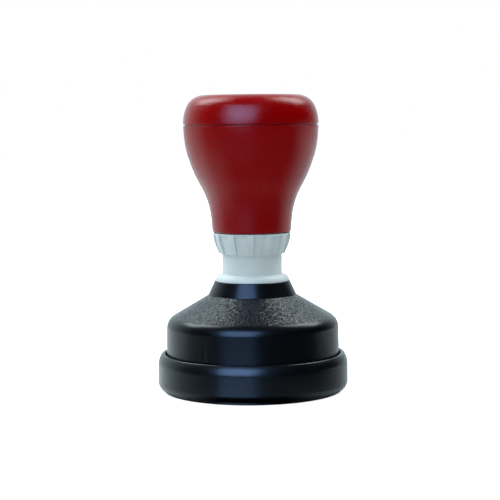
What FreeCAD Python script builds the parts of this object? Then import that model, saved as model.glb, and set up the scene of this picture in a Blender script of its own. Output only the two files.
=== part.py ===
import FreeCAD, Part
import os
from math import cos, pi, sin, sqrt, tan

from FreeCAD import Vector

# Round pre-inked stamp with a palm knob, standing upright in its dust cap.
# Millimetres, +Z up along the stamp's axis, origin on the desk under the middle of the dust cap.
# The front of the stamp faces -Y. Radii grow outwards from the stem and from the die, and heights
# grow upwards from the desk, each by a named wall, play or rise.

# Plays shared by the pieces
RUNNING = 0.08          # radial play of a piece that slides or turns in another
SLIP = 0.04             # radial play of a fixed piece in its seat
STOP_GAP = 0.1          # air left between two faces that meet at the end of a stroke

# Roundings shared by the pieces
FINE_EDGE = 0.1         # turned and stamped metal
EDGE = 0.2              # outer edges of the moulded pieces
CORNER = 0.3            # inner corners of the moulded pieces
WIDE_EDGE = 0.5

# Stroke
STROKE = 5.2
PRINT_REACH = 0.1       # how far the die passes the housing's rim at full stroke

# Stem
STEM_RADIUS = 5.0
STEM_FLAT_DEPTH = 0.7
STEM_SHOULDER = 1.0     # step from the rod to the thread at its upper end
INK_BORE_RADIUS = 2.5
STEM_FOOT_WIDTH = 1.2
STEM_FOOT_HEIGHT = 1.2
STEM_FOOT_GAP = 0.2     # air between the stem's foot and the reservoir
STEM_ABOVE_NUT = 1.4
FOOT_SEAL_SECTION = 0.4  # radius of the O-ring's section

# What sits on the stem
NUT_SIDES = 6
NUT_WALL = 2.5          # thread to the middle of each side
NUT_HEIGHT = 4.0
WASHER_WIDTH = 4.0
WASHER_THICKNESS = 0.6
CLIP_THICKNESS = 0.6
CLIP_GROOVE_DEPTH = 1.0
CLIP_WIDTH = 2.0        # how far the clip stands out of the stem
CLIP_OPENING = 5.0
FELT_THICKNESS = 0.8
FELT_INSET = 0.4        # the felt's edge stays inside the sleeve's

# Return spring
WIRE_RADIUS = 0.45
COIL_PLAY = 0.7         # air between the coil and the stem, and between the coil and the sleeve
END_TURNS = 1.0         # turns at each end that lie close
END_GAP = 0.5
ACTIVE_TURNS = 8.0
SPRING_GAP = 0.05       # air at each seat
SPRING_WASHER_THICKNESS = 0.5
SPRING_WASHER_WIDTH = 1.0  # how far the seat washer reaches past the coil

# Guide sleeve and its ring nut
SLEEVE_WALL = 1.5
SLEEVE_RISE = 17.2      # flange top to the sleeve's upper end
GUIDE_FLOOR = 3.0       # thickness of the inward floor that guides the stem
FLANGE_WIDTH = 2.1
FLANGE_HEIGHT = 1.9
FLANGE_ROUNDING = 1.2
KEY_WIDTH = 2.0
KEY_REACH = 0.9
KEY_HEIGHT = 1.0
RING_NUT_WALL = 0.95
RING_NUT_HEIGHT = 3.2
NOTCHES = 4
NOTCH_WIDTH = 1.6
NOTCH_DEPTH = 1.3

# Die, ink reservoir and their holder
DIE_RADIUS = 21.0
DIE_STEP = 0.7          # shoulder's width round the printing face
DIE_RELIEF = 0.6
DIE_FACE = 0.9
DIE_SHOULDER = 4.0
DIE_RINGS = ((0.5, 1.2), (2.9, 0.5), (9.3, 0.5), (15.8, 0.5))  # inset from the face's edge, and width
RESERVOIR_THICKNESS = 3.4
HOLDER_PLAY = 0.2       # air round the soft die, and round the stem's foot, in the holder
HOLDER_WALL = 1.0
HOLDER_END_GAP = 1.2    # die's shoulder to the holder's lower end
HUB_WALL = 3.0
HUB_HEIGHT = 4.2
HOLDER_RIBS = 6
HOLDER_RIB_WIDTH = 1.2
HOLDER_RIB_HEIGHT = 1.6
HOLDER_RIB_END = 3.2    # the holder's edge to the end of each rib
FRAME_WALL = 0.9
FRAME_LIP = 0.5
FRAME_HEIGHT = 6.5
FACE_PLAY = 0.2
SNAPS = 4
SNAP_WIDTH = 4.0
SNAP_HEIGHT = 1.0
SNAP_REACH = 0.4
SNAP_DROP = 3.0         # underside of the plate to the top of the snap lugs
SNAP_PLAY = 0.1

# Housing
FRAME_PLAY = 0.86       # air between the die frame and the housing
HOUSING_WALL = 1.6
HOUSING_DRAFT = 0.3     # radius lost from the rim to the shoulder
ROOF = 1.8
SHOULDER_ROOM = 2.4     # top of the holder's plate to the shoulder's corner
SHOULDER_RISE = 7.3
SHOULDER_ROUNDING = 3.0
NECK_RISE = 4.2
NECK_SPREAD = 1.95      # radius gained from the neck's top to its base
NECK_RIM = 2.25         # width of the roof round the sleeve
NECK_ROUNDING = 0.6
MARK_DIRECTION = 237.0  # degrees from +X, front left: the groove that shows which way is up
MARK_WIDTH = 0.55
MARK_DEPTH = 0.15

# Dust cap
LIP_GAP = 0.3           # air between the lip and the housing
LIP_WIDTH = 0.95
LIP_DEPTH = 1.4
CAP_GAP = 0.9           # air between the cap's wall and the housing
CAP_WALL = 1.5
CAP_HEIGHT = 11.2
CAP_FLOOR = 1.2
CAP_LOWER_BEVEL = 1.05  # slanted lower edge, before it is rounded
CAP_UPPER_BEVEL = 1.8   # height of the slanted upper edge, before it is rounded
CAP_ROUNDING = 2.5
LEDGE_HEIGHT = 0.8      # step of the floor that the housing's rim stands on
LEDGE_WIDTH = 2.6
FOOT_STEP = 1.8         # radius lost from the cap's wall to its foot
FOOT_HEIGHT = 0.8
FOOT_WIDTH = 2.6
FOOT_HOLLOW = 0.4       # height of the hollow inside the foot ring
GRIP_RIBS = 8
GRIP_RIB_WIDTH = 1.2
GRIP_PLAY = 0.12

# Handle core and its screws
CORE_PLAY = 0.2         # air between the core's tube and the sleeve
CORE_WALL = 0.7
CORE_ROOM = 0.8         # air left above the sleeve at full stroke
CORE_WEB = 2.0
CORE_HUB_WALL = 4.0
CORE_PLATE = 2.0
CORE_PLATE_EDGE = 0.28  # screw head to the plate's edge
CORE_PLATE_PLAY = 0.25
SPIGOT_GAP = 0.3        # core's lower end to the ring's inner shoulder
SCREWS = 3
SCREW_DIRECTION = 90.0
SCREW_RADIUS = 1.0
SCREW_DEPTH = 3.8
SCREW_HEAD_WIDTH = 0.9
SCREW_HEAD_HEIGHT = 1.3
SCREW_RECESS = (1.1, 0.5, 0.8)  # half length, width and depth of each arm of the cross recess
BOSS_WALL = 0.95
BOSS_HEIGHT = 4.7
BOSS_GAP = 0.25

# Adjusting ring and its detent washer
RING_TRAVEL = 0.8       # one turn of the ring's thread
RING_HEIGHT = 6.2
RING_WALL = 1.0         # round the detent washer's recess
RING_LIP_WALL = 0.75
RING_STRAIGHT = 2.1     # straight part above the barrel's corner
RING_BARREL = 9.0       # rounding of that corner
RING_RIBS = 12
RING_FLUTE_DEPTH = 0.42
RING_BAND = 0.45        # plain band above the flutes
RING_PLAY = 0.1         # air between the ring's lip and the sleeve
RING_LIP = 3.0
RING_SEAM = 0.25        # gap to the knob
THREAD_PLAY = 0.1
DETENT_THICKNESS = 0.5
DETENT_WIDTH = 0.5
DETENT_PLAY = 0.1
TAB_WIDTH = 1.7
TAB_REACH = 0.5

# Knob
KNOB_STEP = 0.15        # radius gained from the ring to the knob's lower edge
KNOB_HEIGHT = 31.05
KNOB_TOP_RADIUS = 19.8
KNOB_WALL = 2.2
KNOB_EDGE = 0.35
WAIST_FLARE = 0.7       # radius gained from the lower edge to the waist
WAIST_RISE = 8.65
WAIST_ROUNDING = 23.0
BELLY_INSET = 0.2       # radius lost from the knob's top to the belly
BELLY_RISE = 21.95
BELLY_ROUNDING = 35.8
RIM_WALL = 1.9
THROAT_ROUNDING = 4.0   # where the hollow narrows to the core's tube

# Lid, its seal and the filler plug
SEAM_HEIGHT = 0.3
SEAM_DEPTH = 0.9
LID_RISE = 8.6          # seam to the crown
LID_CROWN = 0.1         # height of the crown's dome
LID_CORNER_INSET = 2.65
LID_CORNER_ROUNDING = 5.6
LID_SIDE_INSET = 0.1
LID_SIDE_RISE = 3.3
LID_SIDE_ROUNDING = 11.0
LID_WALL = 2.0
LID_INNER_ROUNDING = 1.0
LID_PLAY = 0.1
SPIGOT_WALL = 1.5
SPIGOT_DEPTH = 2.8
SPIGOT_END_GAP = 0.4
LID_SEAL_SECTION = 0.45
LID_SEAL_DROP = 1.4     # knob's top to the seal's middle
LID_SEAL_PLAY = 0.05
POST_RADIUS = 3.0
POST_RIBS = 4
POST_RIB_WIDTH = 1.2
POST_RIB_REACH = 8.0
POST_RIB_HEIGHT = 4.5
PLUG_RADIUS = 4.2
PLUG_HEIGHT = 3.9
PLUG_SHANK = 2.6
PLUG_WALL = 0.8
PIN_DEPTH = 4.5

# Radii from the stem outwards
thread_radius = STEM_RADIUS - STEM_SHOULDER
stem_foot_radius = STEM_RADIUS + STEM_FOOT_WIDTH
hub_radius = STEM_RADIUS + HUB_WALL
coil_radius = STEM_RADIUS + COIL_PLAY + WIRE_RADIUS
sleeve_bore = coil_radius + WIRE_RADIUS + COIL_PLAY
sleeve_radius = sleeve_bore + SLEEVE_WALL
flange_radius = sleeve_radius + FLANGE_WIDTH
neck_top_radius = sleeve_radius + NECK_RIM
neck_base_radius = neck_top_radius + NECK_SPREAD
core_bore = sleeve_radius + CORE_PLAY
core_radius = core_bore + CORE_WALL
core_hub_radius = thread_radius + CORE_HUB_WALL
thread_bore = core_radius + THREAD_PLAY
detent_radius = thread_bore + DETENT_WIDTH
recess_radius = detent_radius + DETENT_PLAY
ring_top_radius = recess_radius + RING_WALL
ring_bore = sleeve_radius + RING_PLAY
ring_bottom_radius = ring_bore + RING_LIP_WALL
knob_bottom_radius = ring_top_radius + KNOB_STEP
waist_radius = knob_bottom_radius + WAIST_FLARE
belly_radius = KNOB_TOP_RADIUS - BELLY_INSET
knob_bore = KNOB_TOP_RADIUS - RIM_WALL
spigot_radius = knob_bore - LID_PLAY
boss_radius = SCREW_RADIUS + BOSS_WALL
screw_circle = core_radius + BOSS_GAP + boss_radius
screw_head_radius = SCREW_RADIUS + SCREW_HEAD_WIDTH
plate_radius = screw_circle + screw_head_radius + CORE_PLATE_EDGE
plug_shank_radius = INK_BORE_RADIUS - THREAD_PLAY
pin_radius = plug_shank_radius - PLUG_WALL

# Radii from the die outwards
die_face_radius = DIE_RADIUS - DIE_STEP
holder_bore = DIE_RADIUS + HOLDER_PLAY
holder_radius = holder_bore + HOLDER_WALL
frame_radius = holder_radius + SLIP + FRAME_WALL
housing_radius = frame_radius + FRAME_PLAY + HOUSING_WALL
lip_radius = housing_radius + LIP_GAP
cap_bore = housing_radius + CAP_GAP
cap_radius = cap_bore + CAP_WALL
foot_radius = cap_radius - FOOT_STEP

# Heights of the faces that the pieces share, from the desk up
floor_top = FOOT_HOLLOW + CAP_FLOOR
rim_z = floor_top + LEDGE_HEIGHT
die_z = rim_z + STROKE - PRINT_REACH
die_face_z = die_z + DIE_RELIEF
die_shoulder_z = die_face_z + DIE_FACE
reservoir_z = die_shoulder_z + DIE_SHOULDER
holder_z = reservoir_z + RESERVOIR_THICKNESS
lug_top = holder_z - SNAP_DROP
stem_foot_z = holder_z + STEM_FOOT_GAP
seal_z = stem_foot_z + STEM_FOOT_HEIGHT
hub_z = seal_z + 2 * FOOT_SEAL_SECTION
hub_top_z = hub_z + HUB_HEIGHT
felt_z = hub_top_z + CLIP_THICKNESS
sleeve_z = felt_z + FELT_THICKNESS + STOP_GAP
spring_z = sleeve_z + GUIDE_FLOOR
shoulder_z = hub_z + SHOULDER_ROOM
neck_base_z = shoulder_z + SHOULDER_RISE
neck_top_z = neck_base_z + NECK_RISE
roof_z = neck_top_z - ROOF
flange_top_z = neck_top_z + FLANGE_HEIGHT
sleeve_top_z = flange_top_z + SLEEVE_RISE
ring_z = flange_top_z + STROKE + RING_TRAVEL + STOP_GAP
ring_top_z = ring_z + RING_HEIGHT
ring_shoulder_z = ring_z + RING_LIP
knob_z = ring_top_z + RING_SEAM
knob_top_z = knob_z + KNOB_HEIGHT
lid_z = knob_top_z + SEAM_HEIGHT
ceiling_z = lid_z + LID_RISE - LID_WALL
web_z = sleeve_top_z + STROKE + CORE_ROOM
spring_top_z = web_z - SPRING_WASHER_THICKNESS

ORIGIN = Vector(0, 0, 0)
UP = Vector(0, 0, 1)
TINY = 1e-6
SPRING_CHECKS = 360     # points a turn at which the spring's gap is measured
BEYOND = 5.0            # how far a cutting tool reaches past what it cuts


def tangent_length(before, corner, after, rounding):
    """Distance from a corner to where its tangent arc starts."""
    to_before = (before - corner).normalize()
    to_after = (after - corner).normalize()
    half_angle = to_before.getAngle(to_after) / 2
    return rounding / tan(half_angle)


def outline(corners, closed=True):
    """Wire in the XZ plane through (radius, height, rounding) corners; a rounding is a tangent arc.

    Where two neighbouring arcs need more than the line between them, both shrink to fit it.
    """
    points = [Vector(corner[0], 0, corner[1]) for corner in corners]
    roundings = [corner[2] if len(corner) > 2 else 0.0 for corner in corners]
    count = len(points)
    ends = () if closed else (0, count - 1)
    tangents = [0.0] * count
    for i in range(count):
        if roundings[i] and i not in ends:
            tangents[i] = tangent_length(points[i - 1], points[i], points[(i + 1) % count], roundings[i])
    for i in range(count if closed else count - 1):
        j = (i + 1) % count
        room = points[i].distanceToPoint(points[j])
        wanted = tangents[i] + tangents[j]
        if wanted > room:
            tangents[i] *= room / wanted
            tangents[j] *= room / wanted
    edges = []
    first = last = None
    for i in range(count):
        start = end = points[i]
        if tangents[i]:
            to_before = (points[i - 1] - points[i]).normalize()
            to_after = (points[(i + 1) % count] - points[i]).normalize()
            start = points[i] + to_before * tangents[i]
            end = points[i] + to_after * tangents[i]
        if last is None:
            first = start
        elif last.distanceToPoint(start) > TINY:
            edges.append(Part.makeLine(last, start))
        if tangents[i]:
            edges.append(Part.Arc(start, arc_middle(start, points[i], end), end).toShape())
        last = end
    if closed and last.distanceToPoint(first) > TINY:
        edges.append(Part.makeLine(last, first))
    return Part.Wire(edges)


def arc_middle(start, corner, end):
    """Middle point of the arc that leaves start and reaches end tangent to the lines to corner."""
    chord_middle = (start + end) / 2
    weight = start.distanceToPoint(chord_middle) / start.distanceToPoint(corner)
    return (start + end + corner * (2 * weight)) / (2 + 2 * weight)


def turned(corners, angle=360.0):
    """Solid of revolution about the axis from a closed outline of (radius, height, rounding)."""
    return Part.Face(outline(corners)).revolve(ORIGIN, UP, angle)


def tube(inner, outer, low, high, rounding=0.0):
    """Plain ring between two radii and two heights, all edges rounded alike."""
    return turned([(inner, low, rounding), (outer, low, rounding),
                   (outer, high, rounding), (inner, high, rounding)])


def disc(radius, low, high):
    return Part.makeCylinder(radius, high - low, Vector(0, 0, low))


def block(x_low, x_high, width, low, high):
    """Box along +X between two distances from the axis, centred on the XZ plane."""
    return Part.makeBox(x_high - x_low, width, high - low, Vector(x_low, -width / 2, low))


def around(shape, count, first=0.0):
    """Copies of a shape spread evenly about the axis, the first one turned by first degrees."""
    return [shape.rotated(ORIGIN, UP, first + 360.0 * i / count) for i in range(count)]


def inset(corners, wall):
    """Parallel line at a wall's distance towards the axis, for an outline that runs upwards."""
    flat = [Vector(corner[0], corner[1], 0) for corner in corners]
    steps = [(b - a).normalize() for a, b in zip(flat, flat[1:])]
    lefts = [Vector(-step.y, step.x, 0) * wall for step in steps]
    moved = [(flat[0].x + lefts[0].x, flat[0].y + lefts[0].y)]
    for i in range(1, len(steps)):
        turn = steps[i - 1].x * steps[i].y - steps[i - 1].y * steps[i].x
        between = (lefts[i - 1] + lefts[i]).normalize()
        reach = wall / sqrt((1 + steps[i - 1].dot(steps[i])) / 2)
        rounding = corners[i][2] - wall if turn > 0 else corners[i][2] + wall
        point = flat[i] + between * reach
        moved.append((point.x, point.y, max(rounding, 0.0)))
    moved.append((flat[-1].x + lefts[-1].x, flat[-1].y + lefts[-1].y))
    return moved


def radius_at(low, high, height):
    """Radius at a height on the straight line between two corners."""
    share = (height - low[1]) / (high[1] - low[1])
    return low[0] + (high[0] - low[0]) * share


def flatted_bar(play, low, high):
    """Round bar with the stem's two flats, larger than the stem by the play."""
    bar = disc(STEM_RADIUS + play, low, high)
    width = 2 * (STEM_RADIUS - STEM_FLAT_DEPTH + play)
    length = 2 * (STEM_RADIUS + play)
    flats = Part.makeBox(width, length, high - low, Vector(-width / 2, -length / 2, low))
    return bar.common(flats)


def o_ring(middle, section, height):
    return Part.makeTorus(middle, section, Vector(0, 0, height), UP)


def dust_cap():
    lower = FOOT_HEIGHT + CAP_LOWER_BEVEL
    upper = CAP_HEIGHT - CAP_UPPER_BEVEL
    lip_low = CAP_HEIGHT - LIP_DEPTH
    ledge = housing_radius - LEDGE_WIDTH
    shell = turned([
        (0, FOOT_HOLLOW), (foot_radius - FOOT_WIDTH, FOOT_HOLLOW),
        (foot_radius - FOOT_WIDTH, 0, EDGE), (foot_radius, 0, EDGE), (foot_radius, FOOT_HEIGHT, FINE_EDGE),
        (cap_radius - CAP_LOWER_BEVEL, FOOT_HEIGHT, EDGE), (cap_radius, lower, CAP_ROUNDING),
        (cap_radius, upper, CAP_ROUNDING), (lip_radius + LIP_WIDTH, CAP_HEIGHT, WIDE_EDGE),
        (lip_radius, CAP_HEIGHT, EDGE), (lip_radius, lip_low),
        (cap_bore, lip_low - (cap_bore - lip_radius)), (cap_bore, rim_z), (ledge, rim_z, EDGE),
        (ledge, floor_top), (0, floor_top)])
    grip = block(housing_radius + GRIP_PLAY, cap_bore + CAP_WALL / 2, GRIP_RIB_WIDTH, rim_z, lip_low)
    return shell.fuse(around(grip, GRIP_RIBS, 180.0 / GRIP_RIBS)).removeSplitter()


def housing_line():
    """Outer line of the bell, from its rim up to the roof."""
    return [(housing_radius, rim_z), (housing_radius - HOUSING_DRAFT, shoulder_z, SHOULDER_ROUNDING),
            (neck_base_radius, neck_base_z, NECK_ROUNDING), (neck_top_radius, neck_top_z, EDGE)]


def housing():
    outer = housing_line()
    inner = inset(outer, HOUSING_WALL)
    inner[0] = (housing_radius - HOUSING_WALL, rim_z)
    inner[-1] = (radius_at(inner[-2], inner[-1], roof_z), roof_z, CORNER)
    hole = sleeve_radius + SLIP
    shell = turned([(housing_radius, rim_z, EDGE)] + outer[1:]
                   + [(hole, neck_top_z), (hole, roof_z)] + inner[::-1])
    skirt_top = outer[1][1] - SHOULDER_ROUNDING
    low = (housing_radius - MARK_DEPTH, rim_z)
    high = (radius_at(outer[0], outer[1], skirt_top) - MARK_DEPTH, skirt_top)
    mark_angle = 360 * MARK_WIDTH / (2 * pi * housing_radius)
    groove = turned([low, (low[0] + BEYOND, low[1]), (low[0] + BEYOND, high[1]), high], mark_angle)
    groove = groove.rotated(ORIGIN, UP, MARK_DIRECTION - mark_angle / 2)
    notch = block(0, sleeve_radius + KEY_REACH + SLIP, KEY_WIDTH + 2 * SLIP,
                  neck_top_z - KEY_HEIGHT - SLIP, neck_top_z + BEYOND)
    return shell.cut([groove] + around(notch, 2)).removeSplitter()


def guide_sleeve():
    body = turned([
        (sleeve_bore, spring_z, EDGE), (sleeve_bore, sleeve_top_z, EDGE), (sleeve_radius, sleeve_top_z, CORNER),
        (sleeve_radius, flange_top_z, CORNER), (flange_radius, flange_top_z, FLANGE_ROUNDING),
        (flange_radius, neck_top_z, FINE_EDGE), (sleeve_radius, neck_top_z), (sleeve_radius, sleeve_z, CORNER),
        (0, sleeve_z), (0, spring_z)])
    key = block(sleeve_radius - SLEEVE_WALL / 2, sleeve_radius + KEY_REACH, KEY_WIDTH,
                neck_top_z - KEY_HEIGHT, neck_top_z + FLANGE_HEIGHT / 2)
    bore = flatted_bar(RUNNING, sleeve_z - BEYOND, spring_z + BEYOND)
    return body.fuse(around(key, 2)).cut(bore).removeSplitter()


def sleeve_nut():
    low = roof_z - RING_NUT_HEIGHT
    inner = sleeve_radius + SLIP
    outer = inner + RING_NUT_WALL
    nut = tube(inner, outer, low, roof_z, FINE_EDGE)
    notch = block(0, outer + BEYOND, NOTCH_WIDTH, low - BEYOND, low + NOTCH_DEPTH)
    return nut.cut(around(notch, NOTCHES)).removeSplitter()


def spring_height(turns):
    """Height of the wire's middle after some turns: close turns at both ends, even ones between."""
    low = spring_z + SPRING_GAP + WIRE_RADIUS
    high = spring_top_z - SPRING_GAP - WIRE_RADIUS
    end_pitch = 2 * WIRE_RADIUS + END_GAP
    pitch = (high - low - 2 * END_TURNS * end_pitch) / ACTIVE_TURNS
    if turns <= END_TURNS:
        return low + end_pitch * turns
    if turns <= END_TURNS + ACTIVE_TURNS:
        return low + end_pitch * END_TURNS + pitch * (turns - END_TURNS)
    return high - end_pitch * (2 * END_TURNS + ACTIVE_TURNS - turns)


def spring_point(turns):
    return Vector(coil_radius * cos(2 * pi * turns), coil_radius * sin(2 * pi * turns), spring_height(turns))


def spring_heading(turns):
    step = END_TURNS / SPRING_CHECKS
    return (spring_point(turns + step) - spring_point(turns - step)).normalize()


def biarc(start, heading, end, last_heading):
    """Two tangent arcs between two points with given headings."""
    chord = end - start
    both = heading + last_heading
    a = 2 * (1 - heading.dot(last_heading))
    b = 2 * chord.dot(both)
    c = -chord.dot(chord)
    reach = (-b + sqrt(b * b - 4 * a * c)) / (2 * a)
    first = start + heading * reach
    second = end - last_heading * reach
    middle = (first + second) / 2
    return [Part.Arc(start, arc_middle(start, first, middle), middle).toShape(),
            Part.Arc(middle, arc_middle(middle, second, end), end).toShape()]


def return_spring():
    turns = 2 * END_TURNS + ACTIVE_TURNS
    quarters = int(round(turns * 4))
    marks = [turns * i / quarters for i in range(quarters + 1)]
    edges = []
    for before, after in zip(marks, marks[1:]):
        edges += biarc(spring_point(before), spring_heading(before), spring_point(after), spring_heading(after))
    section = Part.Wire(Part.makeCircle(WIRE_RADIUS, spring_point(0), edges[0].tangentAt(0)))
    pipe = Part.BRepOffsetAPI.MakePipeShell(Part.Wire(edges))
    pipe.add(section)
    pipe.build()
    pipe.makeSolid()
    points = [i / SPRING_CHECKS for i in range(int(SPRING_CHECKS * (turns - 1)))]
    apart = min(spring_point(point).distanceToPoint(spring_point(point + 1)) for point in points)
    print("return spring: least gap between its turns %.2f mm" % (apart - 2 * WIRE_RADIUS))
    return pipe.shape()


def spring_washer():
    outer = coil_radius + WIRE_RADIUS + SPRING_WASHER_WIDTH
    return tube(STEM_RADIUS + RUNNING, outer, spring_top_z, web_z, FINE_EDGE)


def handle_core():
    spigot_z = ring_shoulder_z + SPIGOT_GAP
    body = turned([
        (core_bore, spigot_z, FINE_EDGE), (core_radius, spigot_z, EDGE), (core_radius, plate_z, EDGE),
        (plate_radius, plate_z, EDGE), (plate_radius, core_top_z, EDGE), (core_hub_radius, core_top_z),
        (0, core_top_z), (0, web_z), (core_bore, web_z, CORNER)])
    hollow = tube(core_hub_radius, core_bore, web_z + CORE_WEB, core_top_z + BEYOND)
    bore = disc(thread_radius + SLIP, web_z - BEYOND, core_top_z + BEYOND)
    keyway = block(0, core_radius + BEYOND, TAB_WIDTH + 2 * DETENT_PLAY, spigot_z - BEYOND, knob_z)
    hole = Part.makeCylinder(SCREW_RADIUS + SLIP, CORE_PLATE + 2 * BEYOND,
                             Vector(screw_circle, 0, plate_z - BEYOND))
    cuts = [bore, hollow] + around(keyway, 2) + around(hole, SCREWS, SCREW_DIRECTION)
    return body.cut(cuts).removeSplitter()


def core_screws():
    head_z = core_top_z
    shank = Part.makeCylinder(SCREW_RADIUS, CORE_PLATE + SCREW_DEPTH, Vector(0, 0, plate_z - SCREW_DEPTH))
    head = turned([(0, head_z), (screw_head_radius, head_z),
                   (screw_head_radius, head_z + SCREW_HEAD_HEIGHT, WIDE_EDGE), (0, head_z + SCREW_HEAD_HEIGHT)])
    arm, width, depth = SCREW_RECESS
    recess = block(0, arm, width, head_z + SCREW_HEAD_HEIGHT - depth, head_z + BEYOND)
    screw = shank.fuse(head).cut(around(recess, 4)).removeSplitter()
    screw.translate(Vector(screw_circle, 0, 0))
    return Part.makeCompound(around(screw, SCREWS, SCREW_DIRECTION))


def stem():
    foot = turned([(0, stem_foot_z), (stem_foot_radius, stem_foot_z, EDGE),
                   (stem_foot_radius, seal_z, EDGE), (0, seal_z)])
    neck = disc(STEM_RADIUS, stem_foot_z, hub_z)
    rod = flatted_bar(0, hub_z, web_z)
    thread = turned([(0, web_z), (thread_radius, web_z), (thread_radius, stem_top_z, CORNER),
                     (0, stem_top_z)])
    groove = tube(STEM_RADIUS - CLIP_GROOVE_DEPTH, STEM_RADIUS + BEYOND, hub_top_z, felt_z)
    ink_bore = disc(INK_BORE_RADIUS, stem_foot_z - BEYOND, stem_top_z + BEYOND)
    return foot.fuse([neck, rod, thread]).cut([groove, ink_bore]).removeSplitter()


def stem_washer():
    return tube(thread_radius + SLIP, thread_radius + WASHER_WIDTH, core_top_z, stem_nut_z, FINE_EDGE)


def stem_nut():
    middle = thread_radius + NUT_WALL
    step = 2 * pi / NUT_SIDES
    corner = middle / cos(step / 2)
    top = stem_nut_z + NUT_HEIGHT
    ring = [Vector(corner * cos(step * i), corner * sin(step * i), stem_nut_z) for i in range(NUT_SIDES + 1)]
    prism = Part.Face(Part.makePolygon(ring)).extrude(Vector(0, 0, NUT_HEIGHT))
    chamfer = corner - middle
    barrel = turned([(0, stem_nut_z), (corner - chamfer / 2, stem_nut_z), (corner, stem_nut_z + chamfer / 2),
                     (corner, top - chamfer / 2), (corner - chamfer / 2, top), (0, top)])
    bore = disc(thread_radius + SLIP, stem_nut_z - BEYOND, top + BEYOND)
    return prism.common(barrel).cut(bore).removeSplitter()


def stem_clip():
    inner = STEM_RADIUS - CLIP_GROOVE_DEPTH + SLIP
    ring = tube(inner, STEM_RADIUS + CLIP_WIDTH, hub_top_z, felt_z, FINE_EDGE)
    mouth = block(0, STEM_RADIUS + CLIP_WIDTH + BEYOND, CLIP_OPENING, hub_top_z - BEYOND, felt_z + BEYOND)
    return ring.cut(mouth).removeSplitter()


def rebound_washer():
    return tube(STEM_RADIUS + RUNNING, sleeve_radius - FELT_INSET, felt_z, felt_z + FELT_THICKNESS, FINE_EDGE)


def foot_seal():
    return o_ring(STEM_RADIUS + SLIP + FOOT_SEAL_SECTION, FOOT_SEAL_SECTION, hub_z - FOOT_SEAL_SECTION)


def snap_sector(inner, outer, low, high, play):
    """Arc-shaped block of a snap lug or of its window."""
    angle = 360 * (SNAP_WIDTH + 2 * play) / (2 * pi * holder_radius)
    low, high = low - play, high + play
    sector = turned([(inner, low), (outer, low), (outer, high), (inner, high)], angle)
    return around(sector.rotated(ORIGIN, UP, -angle / 2), SNAPS, 180.0 / SNAPS)


def die_holder():
    low = die_shoulder_z + HOLDER_END_GAP
    cup = turned([
        (holder_bore, low, EDGE), (holder_radius, low, EDGE), (holder_radius, hub_z, WIDE_EDGE),
        (hub_radius, hub_z, CORNER), (hub_radius, hub_top_z, CORNER), (0, hub_top_z), (0, holder_z),
        (holder_bore, holder_z, CORNER)])
    rib = block(hub_radius - HOLDER_RIB_WIDTH, holder_radius - HOLDER_RIB_END, HOLDER_RIB_WIDTH,
                (holder_z + hub_z) / 2, hub_z + HOLDER_RIB_HEIGHT)
    lugs = snap_sector(holder_radius - HOLDER_WALL / 2, holder_radius + SNAP_REACH,
                       lug_top - SNAP_HEIGHT, lug_top, 0)
    bore = flatted_bar(SLIP, holder_z - BEYOND, hub_top_z + BEYOND)
    counterbore = disc(stem_foot_radius + HOLDER_PLAY, holder_z - BEYOND, hub_z)
    return cup.fuse(around(rib, HOLDER_RIBS) + lugs).cut([bore, counterbore]).removeSplitter()


def ink_reservoir():
    return turned([(0, reservoir_z), (DIE_RADIUS, reservoir_z, CORNER), (DIE_RADIUS, holder_z, CORNER),
                   (0, holder_z)])


def die():
    body = turned([
        (0, die_face_z), (die_face_radius, die_face_z, EDGE), (die_face_radius, die_shoulder_z),
        (DIE_RADIUS, die_shoulder_z, EDGE), (DIE_RADIUS, reservoir_z, EDGE), (0, reservoir_z)])
    overlap = DIE_FACE / 2
    outers = [(die_face_radius - edge, width) for edge, width in DIE_RINGS]
    rings = [tube(outer - width, outer, die_z, die_face_z + overlap) for outer, width in outers]
    return body.fuse(rings).removeSplitter()


def die_frame():
    inner = holder_radius + SLIP
    mouth = die_face_radius + FACE_PLAY
    low = die_shoulder_z - FRAME_LIP
    ring = turned([
        (mouth, low, FINE_EDGE), (frame_radius, low, CORNER), (frame_radius, low + FRAME_HEIGHT, EDGE),
        (inner, low + FRAME_HEIGHT), (inner, die_shoulder_z), (mouth, die_shoulder_z)])
    windows = snap_sector(inner - BEYOND, frame_radius + BEYOND, lug_top - SNAP_HEIGHT, lug_top, SNAP_PLAY)
    return ring.cut(windows).removeSplitter()


def ring_line():
    """Outer line of the adjusting ring's ribs, from its lower edge up."""
    return [(ring_bottom_radius, ring_z), (ring_top_radius, ring_top_z - RING_STRAIGHT, RING_BARREL),
            (ring_top_radius, ring_top_z)]


def adjusting_ring():
    line = ring_line()
    recess_z = ring_top_z - DETENT_THICKNESS - 2 * DETENT_PLAY
    barrel = turned([line[0] + (FINE_EDGE,), line[1], line[2] + (EDGE,), (recess_radius, ring_top_z),
                     (recess_radius, recess_z), (thread_bore, recess_z), (thread_bore, ring_shoulder_z),
                     (ring_bore, ring_shoulder_z), (ring_bore, ring_z, FINE_EDGE)])
    floor = inset(line, RING_FLUTE_DEPTH)
    flute_top = ring_top_z - RING_BAND
    floor[0] = (ring_bottom_radius - RING_FLUTE_DEPTH, ring_z)
    floor[-1] = (floor[-1][0], flute_top)
    reach = ring_top_radius + BEYOND
    angle = 180.0 / RING_RIBS
    below = (floor[0][0], ring_z - BEYOND)
    flute = turned([below, (reach, ring_z - BEYOND), (reach, flute_top)] + floor[::-1], angle)
    return barrel.cut(around(flute, RING_RIBS, 270)).removeSplitter()


def detent_washer():
    low = ring_top_z - DETENT_THICKNESS - DETENT_PLAY
    high = low + DETENT_THICKNESS
    ring = tube(thread_bore, detent_radius, low, high)
    tab = block(core_radius - TAB_REACH, thread_bore + DETENT_WIDTH / 2, TAB_WIDTH, low, high)
    return ring.fuse(around(tab, 2)).removeSplitter()


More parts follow.
